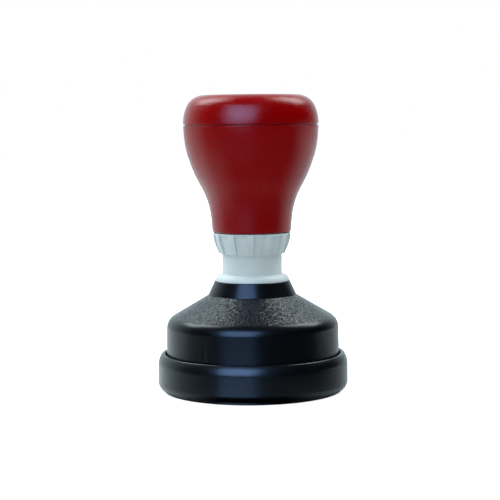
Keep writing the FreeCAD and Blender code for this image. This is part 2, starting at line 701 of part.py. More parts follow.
def knob_line():
    """Outer line of the knob, from its lower edge up to the seam."""
    return [(knob_bottom_radius, knob_z), (waist_radius, knob_z + WAIST_RISE, WAIST_ROUNDING),
            (belly_radius, knob_z + BELLY_RISE, BELLY_ROUNDING), (KNOB_TOP_RADIUS, knob_top_z)]


def height_where_wide(radius):
    """Height at which the slanted part of the knob's hollow has a radius."""
    low, high = inset(knob_line(), KNOB_WALL)[1:3]
    return low[1] + (radius - low[0]) * (high[1] - low[1]) / (high[0] - low[0])


# Heights that the knob's hollow settles: the core's plate goes where the hollow is just wide enough
plate_z = height_where_wide(plate_radius + CORE_PLATE_PLAY)
core_top_z = plate_z + CORE_PLATE
stem_nut_z = core_top_z + WASHER_THICKNESS
stem_top_z = stem_nut_z + NUT_HEIGHT + STEM_ABOVE_NUT
plug_z = stem_top_z + STOP_GAP
plug_top_z = plug_z + PLUG_HEIGHT


def handle_shell():
    line = knob_line()
    inner = inset(line, KNOB_WALL)
    tube_bore = core_radius + SLIP
    meets_z = height_where_wide(tube_bore)
    step_z = knob_top_z - SPIGOT_DEPTH - SPIGOT_END_GAP
    step_radius = radius_at(inner[2], inner[3], step_z)
    shell = turned([line[0] + (KNOB_EDGE,)] + line[1:3] + [
        line[3] + (KNOB_EDGE,), (knob_bore, knob_top_z, CORNER), (knob_bore, step_z), (step_radius, step_z),
        inner[2], (tube_bore, meets_z, THROAT_ROUNDING), (tube_bore, knob_z)])
    solid_knob = turned([(0, knob_z)] + line + [(0, knob_top_z)])
    boss = Part.makeCylinder(boss_radius, BOSS_HEIGHT, Vector(screw_circle, 0, plate_z - BOSS_HEIGHT))
    pilot = Part.makeCylinder(SCREW_RADIUS + SLIP, SCREW_DEPTH + STOP_GAP + BEYOND,
                              Vector(screw_circle, 0, plate_z - SCREW_DEPTH - STOP_GAP))
    shaft = disc(tube_bore, knob_z, knob_top_z)
    bosses = [piece.common(solid_knob).cut(shaft) for piece in around(boss, SCREWS, SCREW_DIRECTION)]
    return shell.fuse(bosses).cut(around(pilot, SCREWS, SCREW_DIRECTION)).removeSplitter()


def lid_line():
    """Outer line of the lid, from the seam up to its crown."""
    crown_z = lid_z + LID_RISE
    return [(KNOB_TOP_RADIUS, lid_z),
            (KNOB_TOP_RADIUS - LID_SIDE_INSET, lid_z + LID_SIDE_RISE, LID_SIDE_ROUNDING),
            (KNOB_TOP_RADIUS - LID_CORNER_INSET, crown_z - LID_CROWN, LID_CORNER_ROUNDING), (0, crown_z)]


def handle_cap():
    line = lid_line()
    inner = inset(line, LID_WALL)
    seat = KNOB_TOP_RADIUS - SEAM_DEPTH
    spigot_z = knob_top_z - SPIGOT_DEPTH
    hollow = spigot_radius - SPIGOT_WALL
    shell = turned([
        (spigot_radius, knob_top_z), (seat, knob_top_z), (seat, lid_z), line[0] + (KNOB_EDGE,),
        line[1], line[2], line[3], (0, ceiling_z), inner[2],
        (hollow, lid_z + LID_SIDE_RISE, LID_INNER_ROUNDING), (hollow, spigot_z, CORNER),
        (spigot_radius, spigot_z, CORNER)])
    groove_z = knob_top_z - LID_SEAL_DROP
    half_groove = LID_SEAL_SECTION + LID_SEAL_PLAY
    groove = tube(spigot_radius - 2 * LID_SEAL_SECTION, spigot_radius + BEYOND,
                  groove_z - half_groove, groove_z + half_groove)
    in_ceiling = ceiling_z + LID_WALL / 2
    post = disc(POST_RADIUS, plug_top_z, in_ceiling)
    pin = disc(pin_radius, plug_top_z - PIN_DEPTH, plug_top_z)
    rib = block(0, POST_RIB_REACH, POST_RIB_WIDTH, ceiling_z - POST_RIB_HEIGHT, in_ceiling)
    return shell.cut(groove).fuse([post, pin] + around(rib, POST_RIBS, 45)).removeSplitter()


def cap_seal():
    outer = knob_bore - LID_SEAL_PLAY
    return o_ring(outer - LID_SEAL_SECTION, LID_SEAL_SECTION, knob_top_z - LID_SEAL_DROP)


def filler_plug():
    low = plug_z - PLUG_SHANK
    body = turned([
        (0, low), (plug_shank_radius, low, WIDE_EDGE), (plug_shank_radius, plug_z),
        (PLUG_RADIUS, plug_z, CORNER), (PLUG_RADIUS, plug_top_z, CORNER), (0, plug_top_z)])
    hole = disc(pin_radius + SLIP, plug_top_z - PIN_DEPTH - SLIP, plug_top_z + BEYOND)
    return body.cut(hole)


PIECES = (dust_cap, housing, guide_sleeve, sleeve_nut, return_spring, spring_washer, handle_core,
          core_screws, stem, stem_washer, stem_nut, stem_clip, rebound_washer, foot_seal, die_holder,
          ink_reservoir, die, die_frame, adjusting_ring, detent_washer, handle_shell, handle_cap,
          cap_seal, filler_plug)

os.makedirs("parts", exist_ok=True)
for piece in PIECES:
    shape = piece()
    shape.exportStep("parts/%s.step" % piece.__name__)
    print("%-16s %8.1f mm3, %d solid(s), valid %s" % (
        piece.__name__, shape.Volume, len(shape.Solids), shape.isValid()))
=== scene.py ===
import bpy
import numpy as np
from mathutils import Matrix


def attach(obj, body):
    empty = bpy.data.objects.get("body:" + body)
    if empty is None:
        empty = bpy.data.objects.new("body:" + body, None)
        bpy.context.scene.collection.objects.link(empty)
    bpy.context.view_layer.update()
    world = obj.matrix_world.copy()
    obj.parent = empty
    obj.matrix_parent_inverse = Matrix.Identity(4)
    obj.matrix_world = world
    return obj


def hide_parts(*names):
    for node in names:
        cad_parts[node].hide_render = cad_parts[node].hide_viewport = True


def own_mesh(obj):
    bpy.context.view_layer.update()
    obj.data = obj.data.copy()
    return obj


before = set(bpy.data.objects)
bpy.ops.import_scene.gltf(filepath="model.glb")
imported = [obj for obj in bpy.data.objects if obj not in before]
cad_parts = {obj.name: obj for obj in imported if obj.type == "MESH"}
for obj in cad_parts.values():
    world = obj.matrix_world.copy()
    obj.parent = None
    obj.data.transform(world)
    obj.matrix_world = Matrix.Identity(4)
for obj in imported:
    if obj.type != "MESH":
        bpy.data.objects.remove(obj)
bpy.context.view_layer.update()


# Dust cap
# Shallow cup that the stamp stands in, so that its inked face neither dries nor marks the desk.
# Moulded in black ABS with a satin skin, a rolled upper edge and a stepped foot; eight ribs inside
# grip the housing.

MM = 0.001              # a millimetre in metres; a pattern of scale 4 / MM comes 4 times in a millimetre
SHARP = 0.05            # rounding that even a crisp moulded corner has, in millimetres
TIGHT = 0.25            # up to this radius a rounding gets fewer points
ARC_STEP = 5            # degrees from point to point round a rounding
TIGHT_STEP = 18         # the same round a tight one
SPECK = 1e-6            # an arc that would be shorter is a plain corner
TINY = 1e-12            # keeps a division off zero


def rounded(corners, closed):
    """Profile in millimetres through (radius, height, rounding) corners.

    Each rounding is the arc that touches both lines of its corner, and where two arcs want more than
    the line between them, both shrink in the same proportion. A point of the arc is its centre plus
    its start and its end, weighed by the sines of the angles still to go and gone, over the sine of
    the whole sweep.
    """
    points = np.array([corner[:2] for corner in corners], float)
    rounding = np.array([corner[2] if len(corner) > 2 else SHARP for corner in corners])
    if not closed:
        rounding[[0, -1]] = 0
    back = np.roll(points, 1, axis=0) - points
    ahead = np.roll(points, -1, axis=0) - points
    room = np.hypot(*ahead.T)
    back /= np.hypot(*back.T)[:, None]
    ahead /= room[:, None]
    half = np.arccos(np.clip((back * ahead).sum(axis=1), -1, 1)) / 2
    reach = rounding / np.tan(half)
    share = np.minimum(1, room / np.maximum(reach + np.roll(reach, -1), TINY))
    reach *= np.minimum(share, np.roll(share, 1))
    runs = []
    for point, first, last, angle, length in zip(points, back, ahead, half, reach):
        if length < SPECK:
            runs.append(point[None])
            continue
        centre = point + (first + last) * length / (1 + np.cos(2 * angle))
        sweep = np.pi - 2 * angle
        step = np.radians(ARC_STEP if length * np.tan(angle) > TIGHT else TIGHT_STEP)
        along = np.linspace(0, 1, int(np.ceil(sweep / step)) + 1)[:, None]
        start = np.sin((1 - along) * sweep) * (point + first * length - centre)
        end = np.sin(along * sweep) * (point + last * length - centre)
        runs.append(centre + (start + end) / np.sin(sweep))
    return np.concatenate(runs)


def skin(name, grid, ends):
    """Mesh over a grid of points in millimetres whose columns close into rings.

    The rows close into a loop too, or at "poles" the first and the last row shrink to a point each. The
    normal at a point is the step between its neighbours round the ring, crossed with the step between
    its neighbours along the rows, so that a flat stays flat right up to a tight rounding.
    """
    rows, columns = grid.shape[:2]
    around = np.roll(grid, -1, axis=1) - np.roll(grid, 1, axis=1)
    along = np.roll(grid, -1, axis=0) - np.roll(grid, 1, axis=0)
    normals = np.cross(around, along)
    index = np.arange(rows * columns).reshape(rows, columns)
    after = np.roll(index, -1, axis=1)
    points = grid.reshape(-1, 3)
    if ends == "loop":
        faces = np.stack([index, after, np.roll(after, -1, axis=0), np.roll(index, -1, axis=0)], axis=-1)
        faces = faces.reshape(-1, 4).tolist()
        normals = normals.reshape(-1, 3)
    else:
        # The first and the last row are one point each, so the rows between are numbered from 1.
        index -= columns - 1
        after -= columns - 1
        first, last = 0, index[-2, -1] + 1
        points = np.concatenate([grid[:1, 0], grid[1:-1].reshape(-1, 3), grid[-1:, 0]])
        middle = np.stack([index[1:-2], after[1:-2], after[2:-1], index[2:-1]], axis=-1)
        bottom = np.stack([np.full(columns, first), after[1], index[1]], axis=-1)
        top = np.stack([index[-2], after[-2], np.full(columns, last)], axis=-1)
        faces = middle.reshape(-1, 4).tolist() + bottom.tolist() + top.tolist()
        caps = [np.cross(grid[i], np.roll(grid[i], -1, axis=0)).sum(axis=0)[None] * way
                for i, way in ((1, -1), (-2, 1))]
        normals = np.concatenate([caps[0], normals[1:-1].reshape(-1, 3), caps[1]])
    normals = normals / np.maximum(np.linalg.norm(normals, axis=1), TINY)[:, None]
    mesh = bpy.data.meshes.new(name)
    mesh.from_pydata((points * MM).tolist(), [], faces)
    mesh.shade_smooth()
    mesh.normals_split_custom_set_from_vertices(normals)
    piece = bpy.data.objects.new(name, mesh)
    bpy.context.scene.collection.objects.link(piece)
    return piece


def turned(name, corners, ends="loop", count=288, near=(), moved=None):
    """Turned piece: each profile point, moved outwards by moved(radius, height, angle), goes round Z.

    The angles are count even ones, and those that near adds where a rib or a groove has its edges. The
    profile's area, positive or negative, tells which way it runs, and so which way its faces look.
    """
    radius, height = rounded(corners, ends == "loop").T
    runs_inwards = (radius * np.roll(height, -1) - np.roll(radius, -1) * height).sum() < 0
    if runs_inwards:
        radius, height = radius[::-1], height[::-1]
    angle = np.unique(np.round(np.concatenate([np.linspace(0, 360, count, endpoint=False),
                                               np.asarray(near, float) % 360]), 4))
    radius, height, angle = np.broadcast_arrays(radius[:, None], height[:, None], angle[None])
    if moved:
        radius = radius + moved(radius, height, angle)
    turn = np.radians(angle)
    return skin(name, np.stack([radius * np.cos(turn), radius * np.sin(turn), height], axis=-1), ends)


def bar_at(angle, middle, width, soft):
    """1 within half a width of the middle angle, 0 outside, with a slope as wide as soft between."""
    off = np.abs((angle - middle + 180) % 360 - 180)
    return np.clip((width / 2 + soft / 2 - off) / soft, 0, 1)


def edges_of(middle, width, soft):
    """The four angles at which bar_at changes its slope."""
    return middle + np.array([-width - soft, soft - width, width - soft, width + soft]) / 2


def linear(code):
    """Linear colour of an sRGB hex code: the straight part below 0.04045, the 2.4 power above it."""
    value = np.array([int(code[i:i + 2], 16) for i in (1, 3, 5)]) / 255
    value = np.where(value <= 0.04045, value / 12.92, ((value + 0.055) / 1.055) ** 2.4)
    return (*value.tolist(), 1.0)


def add(tree, kind, feeds=None, **settings):
    """Adds a shader node. feeds gives each input a value, or an output of another node to link from.

    Inputs that share a name go by number: a Mix node's two values are 2 and 3, its two colours 6 and 7.
    """
    node = tree.nodes.new("ShaderNode" + kind)
    for key, value in settings.items():
        setattr(node, key, value)
    for key, source in (feeds or {}).items():
        if isinstance(source, bpy.types.NodeSocket):
            tree.links.new(source, node.inputs[key])
        else:
            node.inputs[key].default_value = source
    return node


def bare_material(name):
    """Material with an empty node tree."""
    material = bpy.data.materials.new(name)
    material.use_nodes = True
    material.node_tree.nodes.clear()
    return material, material.node_tree


CAP_LINE = [(0, 0.4), (23.6, 0.4), (23.6, 0, 0.2), (26.2, 0, 0.2), (26.2, 0.8, 0.1), (26.95, 0.8, 0.2),
            (28.0, 1.85, 2.5), (28.0, 9.4, 5.2), (26.85, 11.2, 0.45), (25.9, 11.2, 0.2), (25.9, 9.8),
            (26.5, 9.2), (26.5, 2.4), (23.0, 2.4, 0.2), (23.0, 1.6), (0, 1.6)]
RIB_ANGLES = np.arange(8) * 45 + 22.5
RIB_FACE = 25.72        # radius at which a rib grips the housing
RIB_ARC = 2.65          # degrees that a rib takes
RIB_SLOPE = 0.35        # degrees that its flank takes
RIB_WALL = (25.87, 26.53)       # radii between which the wall behind the ribs lies
RIB_SPAN = (2.42, 9.75)         # heights between which they run


def cap_ribs(radius, height, angle):
    """Moves the inner wall in to the ribs' face at the eight rib angles."""
    wall = (radius > RIB_WALL[0]) & (radius < RIB_WALL[1])
    wall &= (height > RIB_SPAN[0]) & (height < RIB_SPAN[1])
    ribs = sum(bar_at(angle, middle, RIB_ARC, RIB_SLOPE) for middle in RIB_ANGLES)
    return np.where(wall, RIB_FACE - radius, 0) * ribs


dust_cap = turned("dust_cap_shell", CAP_LINE, "poles", count=300, moved=cap_ribs,
                  near=np.concatenate([edges_of(middle, RIB_ARC, RIB_SLOPE) for middle in RIB_ANGLES]))

# Black ABS from a lightly blasted mould: a satin skin, grained every 0.24 mm on a slow waviness, 1.25 mm
# from crest to crest, that softens each reflection, with a gloss that drifts over about 11 mm.
BLUISH_GLOSS = (0.84, 0.93, 1.0, 1.0)
WAVE_SHARE = 0.6        # height of the waves as a share of the grain's
moulded_black, tree = bare_material("satin_black_abs")
place = add(tree, "TexCoord").outputs["Object"]
waves = add(tree, "TexNoise", {"Vector": place, "Scale": 0.8 / MM, "Detail": 1.0})
skin_grain = add(tree, "TexNoise", {"Vector": place, "Scale": 4.2 / MM, "Detail": 2.0})
slow = add(tree, "TexNoise", {"Vector": place, "Scale": 0.09 / MM, "Detail": 2.0})
both = add(tree, "Math", {0: waves.outputs["Fac"], 1: WAVE_SHARE, 2: skin_grain.outputs["Fac"]},
           operation="MULTIPLY_ADD")
bump = add(tree, "Bump", {"Height": both.outputs[0], "Strength": 0.5, "Distance": 0.006 * MM})
gloss = add(tree, "MapRange", {"Value": slow.outputs["Fac"], "From Min": 0.3, "From Max": 0.7,
                               "To Min": 0.24, "To Max": 0.30})
tint = add(tree, "Mix", {"Factor": slow.outputs["Fac"], 6: linear("#020305"), 7: linear("#04060A")},
           data_type="RGBA")
shader = add(tree, "BsdfPrincipled", {"Base Color": tint.outputs[2], "Roughness": gloss.outputs["Result"],
                                      "IOR": 1.52, "Specular Tint": BLUISH_GLOSS,
                                      "Normal": bump.outputs["Normal"]})
add(tree, "OutputMaterial", {"Surface": shader.outputs["BSDF"]})
dust_cap.data.materials.append(moulded_black)
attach(dust_cap, "dust_cap")
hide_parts("dust_cap")


# Housing
# Bell that holds the whole works. Moulded in black ABS: its walls and its neck are satin, and its
# shoulder has the coarse sparkling grain of a spark-eroded mould. A shallow groove down the front left
# shows which way up the print comes.

HOUSING_LINE = [(25.6, 2.4, 0.2), (25.3, 21.0, 4.0), (13.0, 28.3, 0.6), (11.05, 32.5, 0.2), (8.84, 32.5),
                (8.84, 30.7), (10.12, 30.7, 0.3), (11.757, 27.177, 2.2), (23.715, 20.08, 1.4), (24.0, 2.4)]
OUTER_WALL = 25.2       # radius past which only the outer wall lies
MARK_ANGLE = 237.0      # degrees from +X, to the front left
MARK_ARC = 2.2          # degrees that the groove takes
MARK_SLOPE = 1.0        # degrees that its flank takes
MARK_DEPTH = 0.34
MARK_TOP = 18.0         # height at which it ends, below the shoulder


def housing_mark(radius, height, angle):
    """Sinks the orientation groove into the outer wall, from the rim up to where the shoulder begins."""
    wall = (radius > OUTER_WALL) & (height < MARK_TOP)
    return -MARK_DEPTH * wall * bar_at(angle, MARK_ANGLE, MARK_ARC, MARK_SLOPE)


housing = turned("housing_bell", HOUSING_LINE, count=360, moved=housing_mark,
                 near=edges_of(MARK_ANGLE, MARK_ARC, MARK_SLOPE))

# The same black ABS, with the coarse grain of the eroded mould on the shoulder's slope: small facets,
# each tilted its own way, that glint one by one under the lamps. They are drawn 0.28 mm across, coarser
# than real ones, so that they show. The neck above keeps a trace of them.
GRAIN_STARTS = (21.4, 22.5)     # heights between which the grain comes in above the wall
GRAIN_ENDS = (28.0, 28.6)       # and goes out again below the neck
NECK_GRAIN = 0.12               # share of it that the neck keeps
FACET_TILT = 0.36               # how far apart two facets may lean, as a share of their length
grained_black, tree = bare_material("spark_eroded_black_abs")
place = add(tree, "TexCoord").outputs["Object"]
height = add(tree, "SeparateXYZ", {0: place}).outputs["Z"]
above_wall = add(tree, "MapRange", {"Value": height, "From Min": GRAIN_STARTS[0] * MM,
                                    "From Max": GRAIN_STARTS[1] * MM}, interpolation_type="SMOOTHSTEP")
below_neck = add(tree, "MapRange", {"Value": height, "From Min": GRAIN_ENDS[1] * MM,
                                    "From Max": GRAIN_ENDS[0] * MM, "To Min": NECK_GRAIN},
                 interpolation_type="SMOOTHSTEP")
slope = add(tree, "Math", {0: above_wall.outputs["Result"], 1: below_neck.outputs["Result"]},
            operation="MULTIPLY")
waves = add(tree, "TexNoise", {"Vector": place, "Scale": 0.8 / MM, "Detail": 1.0})
fine = add(tree, "Bump", {"Height": waves.outputs["Fac"], "Strength": 0.5, "Distance": 0.006 * MM})
facet = add(tree, "TexVoronoi", {"Vector": place, "Scale": 3.6 / MM, "Randomness": 1.0})
centred = add(tree, "VectorMath", {0: facet.outputs["Color"], 1: (0.5, 0.5, 0.5)}, operation="SUBTRACT")
reach = add(tree, "Math", {0: slope.outputs[0], 1: FACET_TILT}, operation="MULTIPLY")
tilt = add(tree, "VectorMath", {0: centred.outputs[0], "Scale": reach.outputs[0]}, operation="SCALE")
leaning = add(tree, "VectorMath", {0: fine.outputs["Normal"], 1: tilt.outputs[0]}, operation="ADD")
grain = add(tree, "VectorMath", {0: leaning.outputs[0]}, operation="NORMALIZE")
gloss = add(tree, "MapRange", {"Value": slope.outputs[0], "To Min": 0.27, "To Max": 0.22})
# Random facets of the slope also get a paler base colour: a painted glint, beside the real glints of their
# tilt.
random_facet = add(tree, "SeparateColor", {0: facet.outputs["Color"]}).outputs[0]
painted_glint = add(tree, "Math", {0: slope.outputs[0], 1: random_facet}, operation="MULTIPLY")
tint = add(tree, "Mix", {"Factor": painted_glint.outputs[0], 6: linear("#040608"), 7: linear("#1A2027")},
           data_type="RGBA")
shader = add(tree, "BsdfPrincipled", {"Base Color": tint.outputs[2], "Roughness": gloss.outputs["Result"],
                                      "IOR": 1.43, "Specular Tint": BLUISH_GLOSS,
                                      "Normal": grain.outputs[0]})
add(tree, "OutputMaterial", {"Surface": shader.outputs["BSDF"]})
housing.data.materials.append(grained_black)
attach(housing, "housing")
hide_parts("housing")


# Guide sleeve
# Tube with a flange that sits on the housing's neck; the knob slides down over it. Moulded in light
# grey acetal, satin and slightly waxy; two flats in its floor keep the stem from turning.

SLEEVE_LINE = [(7.3, 27.3, 0.2), (7.3, 51.6, 0.2), (8.8, 51.6, 0.3), (8.8, 34.4, 0.3), (10.9, 34.4, 1.8),
               (10.9, 32.5, 0.1), (8.8, 32.5), (8.8, 24.3, 0.3), (5.08, 24.3), (5.08, 27.3)]
FLAT_REACH = 4.38       # distance of the two flats from the axis
FLOOR_BORE = 5.2        # radius within which only the floor's bore lies


def sleeve_flats(radius, height, angle):
    """Brings the bore of the floor in to its two flats, at their distance over the angle's cosine."""
    flat = FLAT_REACH / np.maximum(np.abs(np.cos(np.radians(angle))), TINY)
    return np.where(radius < FLOOR_BORE, np.minimum(flat - radius, 0), 0)


sleeve = turned("guide_sleeve_tube", SLEEVE_LINE, moved=sleeve_flats)

# Light cool grey acetal: even colour, a satin skin with a peel of 0.6 mm, and a faint milky mottle
# 4 mm wide.
grey_acetal, tree = bare_material("light_grey_acetal")
place = add(tree, "TexCoord").outputs["Object"]
mottle = add(tree, "TexNoise", {"Vector": place, "Scale": 0.26 / MM, "Detail": 3.0})
peel = add(tree, "TexNoise", {"Vector": place, "Scale": 1.7 / MM, "Detail": 2.0})
bump = add(tree, "Bump", {"Height": peel.outputs["Fac"], "Strength": 0.4, "Distance": 0.01 * MM})
tint = add(tree, "Mix", {"Factor": mottle.outputs["Fac"], 6: linear("#D3DADB"), 7: linear("#DDE3E3")},
           data_type="RGBA")
gloss = add(tree, "MapRange", {"Value": mottle.outputs["Fac"], "To Min": 0.36, "To Max": 0.44})
shader = add(tree, "BsdfPrincipled", {"Base Color": tint.outputs[2], "Roughness": gloss.outputs["Result"],
                                      "IOR": 1.48, "Normal": bump.outputs["Normal"]})
add(tree, "OutputMaterial", {"Surface": shader.outputs["BSDF"]})
sleeve.data.materials.append(grey_acetal)
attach(sleeve, "housing")
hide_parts("guide_sleeve")


# Ring nut, stem and handle core
# The nut clamps the sleeve in the housing's roof. The stem joins the knob to the die holder, and ink
# runs down its bore; the core carries the stem and screws into the knob. All are moulded in natural
# acetal.

# Natural acetal: milky, a little waxy, with a peel of 0.7 mm and faint cloudy flow marks 5 mm wide.
natural_acetal, tree = bare_material("natural_acetal")
place = add(tree, "TexCoord").outputs["Object"]
cloud = add(tree, "TexNoise", {"Vector": place, "Scale": 0.21 / MM, "Detail": 3.0, "Distortion": 0.6})
peel = add(tree, "TexNoise", {"Vector": place, "Scale": 1.5 / MM, "Detail": 2.0})
bump = add(tree, "Bump", {"Height": peel.outputs["Fac"], "Strength": 0.4, "Distance": 0.01 * MM})
tint = add(tree, "Mix", {"Factor": cloud.outputs["Fac"], 6: linear("#B4B7B3"), 7: linear("#C9CBC6")},
           data_type="RGBA")
gloss = add(tree, "MapRange", {"Value": cloud.outputs["Fac"], "To Min": 0.36, "To Max": 0.48})
shader = add(tree, "BsdfPrincipled", {"Base Color": tint.outputs[2], "Roughness": gloss.outputs["Result"],
                                      "IOR": 1.48, "Normal": bump.outputs["Normal"]})
add(tree, "OutputMaterial", {"Surface": shader.outputs["BSDF"]})


def finish_solids(names, material):
    """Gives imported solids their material; their meshes stay as they are."""
    for name in names:
        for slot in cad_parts[name].material_slots:
            slot.material = material


finish_solids(("sleeve_nut", "stem", "handle_core"), natural_acetal)


# Return spring
# Compression spring between the sleeve's floor and the core, wound from drawn steel wire with a close
# turn at each end; it is oiled.

COIL_RADIUS = 6.15      # from the axis to the middle of the wire
WIRE_RADIUS = 0.45
COIL_TURNS = (0, 1, 9, 10)                  # turns from the lower end, the first and the last close ones
COIL_HEIGHTS = (27.8, 29.2, 55.2, 56.6)     # where the middle of the wire is after each of them


def coil(name, steps_a_turn=72, sides=20):
    """Wire of circular section carried along a helix whose height runs evenly between given turns.

    The section stands on the way out from the axis and on that way crossed with the helix's heading.
    """
    turns = np.linspace(COIL_TURNS[0], COIL_TURNS[-1], steps_a_turn * COIL_TURNS[-1] + 1)
    turn = turns * 2 * np.pi
    outwards = np.stack([np.cos(turn), np.sin(turn), 0 * turn], axis=-1)
    middle = outwards * COIL_RADIUS
    middle[:, 2] = np.interp(turns, COIL_TURNS, COIL_HEIGHTS)
    heading = np.gradient(middle, axis=0)
    heading /= np.linalg.norm(heading, axis=1)[:, None]
    across = np.cross(heading, outwards)
    side = np.linspace(0, 2 * np.pi, sides, endpoint=False)[None, :, None]
    section = np.cos(side) * outwards[:, None] + np.sin(side) * across[:, None]
    tube = middle[:, None] + WIRE_RADIUS * section
    ends = [np.repeat(point[None, None], sides, axis=1) for point in (middle[0], middle[-1])]
    return skin(name, np.concatenate([ends[0], tube, ends[1]]), "poles")


spring = coil("return_spring_coil")

# Drawn spring wire: dark steel with drawing marks 0.2 mm apart, under a thin film of oil that pools
# every few millimetres.
oiled_wire, tree = bare_material("oiled_spring_wire")
place = add(tree, "TexCoord").outputs["Object"]
film = add(tree, "TexNoise", {"Vector": place, "Scale": 0.42 / MM, "Detail": 2.0})
drawn = add(tree, "TexNoise", {"Vector": place, "Scale": 5.2 / MM, "Detail": 1.0})
bump = add(tree, "Bump", {"Height": drawn.outputs["Fac"], "Strength": 0.3, "Distance": 0.004 * MM})
tint = add(tree, "Mix", {"Factor": film.outputs["Fac"], 6: linear("#6E6A62"), 7: linear("#8B8982")},
           data_type="RGBA")
gloss = add(tree, "MapRange", {"Value": film.outputs["Fac"], "To Min": 0.18, "To Max": 0.34})
shader = add(tree, "BsdfPrincipled", {"Base Color": tint.outputs[2], "Roughness": gloss.outputs["Result"],
                                      "Metallic": 1.0, "Normal": bump.outputs["Normal"]})
add(tree, "OutputMaterial", {"Surface": shader.outputs["BSDF"]})
spring.data.materials.append(oiled_wire)
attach(spring, "housing")
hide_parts("return_spring")
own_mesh(spring)


# Washers, clip and screws
# The spring's seat, the washer under the nut, the keyed detent washer and the clip at the stem's foot
# are stamped from steel sheet and zinc plated, as the three screws are.

# Zinc plate on stamped steel: bluish grey, with spangles of slightly different gloss 0.4 mm across,
# tones 1.4 mm wide and fine tumbling scratches.
zinc_plate, tree = bare_material("zinc_plated_steel")
place = add(tree, "TexCoord").outputs["Object"]
spangle = add(tree, "TexVoronoi", {"Vector": place, "Scale": 2.5 / MM})
wear = add(tree, "TexNoise", {"Vector": place, "Scale": 0.7 / MM, "Detail": 3.0})
scratch = add(tree, "TexNoise", {"Vector": place, "Scale": 6 / MM, "Detail": 1.0})
bump = add(tree, "Bump", {"Height": scratch.outputs["Fac"], "Strength": 0.3, "Distance": 0.004 * MM})
tint = add(tree, "Mix", {"Factor": wear.outputs["Fac"], 6: linear("#A9AEB4"), 7: linear("#C6CACB")},
           data_type="RGBA")
gloss = add(tree, "MapRange", {"Value": spangle.outputs["Distance"], "To Min": 0.24, "To Max": 0.40})
shader = add(tree, "BsdfPrincipled", {"Base Color": tint.outputs[2], "Roughness": gloss.outputs["Result"],
                                      "Metallic": 1.0, "Normal": bump.outputs["Normal"]})
add(tree, "OutputMaterial", {"Surface": shader.outputs["BSDF"]})
finish_solids(("spring_washer", "stem_washer", "detent_washer", "stem_clip", "core_screws"), zinc_plate)


# Stem nut
# Hexagonal nut on the stem's threaded end; it pulls the stem up against the core. Turned and drilled
# from hexagonal brass bar.

# Turned brass: warm yellow, with the lathe's rings 0.5 mm apart on its faces and a light tarnish.
turned_brass, tree = bare_material("turned_brass")
place = add(tree, "TexCoord").outputs["Object"]
tarnish = add(tree, "TexNoise", {"Vector": place, "Scale": 0.3 / MM, "Detail": 3.0})
rings = add(tree, "TexWave", {"Vector": place, "Scale": 0.64 / MM}, wave_type="RINGS", rings_direction="Z")
bump = add(tree, "Bump", {"Height": rings.outputs["Fac"], "Strength": 0.3, "Distance": 0.004 * MM})
tint = add(tree, "Mix", {"Factor": tarnish.outputs["Fac"], 6: linear("#B58F45"), 7: linear("#D2AE66")},
           data_type="RGBA")
gloss = add(tree, "MapRange", {"Value": tarnish.outputs["Fac"], "To Min": 0.2, "To Max": 0.34})
shader = add(tree, "BsdfPrincipled", {"Base Color": tint.outputs[2], "Roughness": gloss.outputs["Result"],
                                      "Metallic": 1.0, "Normal": bump.outputs["Normal"]})
add(tree, "OutputMaterial", {"Surface": shader.outputs["BSDF"]})
finish_solids(("stem_nut",), turned_brass)


# Rebound washer
# Soft ring that lies on the stem's clip and quietens the return stroke against the sleeve's lower end.
# Punched from pressed wool felt.

FELT_LINE = [(5.08, 23.4), (8.4, 23.4, 0.25), (8.4, 24.2, 0.25), (5.08, 24.2)]
felt_washer = turned("rebound_felt", FELT_LINE, count=144)

# Pressed wool felt: matt, pale grey-brown, with matted fibres a third of a millimetre long.
wool_felt, tree = bare_material("pressed_wool_felt")
place = add(tree, "TexCoord").outputs["Object"]
fibres = add(tree, "TexNoise", {"Vector": place, "Scale": 3 / MM, "Detail": 4.0, "Distortion": 2.0})
bump = add(tree, "Bump", {"Height": fibres.outputs["Fac"], "Strength": 0.9, "Distance": 0.08 * MM})
tint = add(tree, "Mix", {"Factor": fibres.outputs["Fac"], 6: linear("#6F6A62"), 7: linear("#B1ABA0")},
           data_type="RGBA")
shader = add(tree, "BsdfPrincipled", {"Base Color": tint.outputs[2], "Roughness": 0.95, "Sheen Weight": 0.4,
                                      "Normal": bump.outputs["Normal"]})
add(tree, "OutputMaterial", {"Surface": shader.outputs["BSDF"]})
felt_washer.data.materials.append(wool_felt)
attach(felt_washer, "plunger")
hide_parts("rebound_washer")


# Foot seal
# O-ring that keeps the ink in where the stem's foot meets the die holder, squeezed between the two.
# Moulded in nitrile rubber.

def o_ring(name, middle, section, height):
    """Ring of circular section: four corners round the section, each rounded by the section's radius."""
    corners = [(middle + out * section, height + up * section, section)
               for out, up in ((-1, -1), (1, -1), (1, 1), (-1, 1))]
    return turned(name, corners, count=180)


foot_seal = o_ring("foot_o_ring", middle=5.44, section=0.4, height=18.2)

# Nitrile rubber: nearly black, silky where it is new, with a faint grey bloom in clouds 2 mm wide.
nitrile, tree = bare_material("moulded_nitrile")
place = add(tree, "TexCoord").outputs["Object"]
bloom = add(tree, "TexNoise", {"Vector": place, "Scale": 0.5 / MM, "Detail": 4.0})
bump = add(tree, "Bump", {"Height": bloom.outputs["Fac"], "Strength": 0.4, "Distance": 0.02 * MM})
tint = add(tree, "Mix", {"Factor": bloom.outputs["Fac"], 6: linear("#141517"), 7: linear("#26282A")},
           data_type="RGBA")
gloss = add(tree, "MapRange", {"Value": bloom.outputs["Fac"], "To Min": 0.42, "To Max": 0.62})
shader = add(tree, "BsdfPrincipled", {"Base Color": tint.outputs[2], "Roughness": gloss.outputs["Result"],
                                      "IOR": 1.52, "Normal": bump.outputs["Normal"]})
add(tree, "OutputMaterial", {"Surface": shader.outputs["BSDF"]})
foot_seal.data.materials.append(nitrile)
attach(foot_seal, "plunger")
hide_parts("foot_seal")


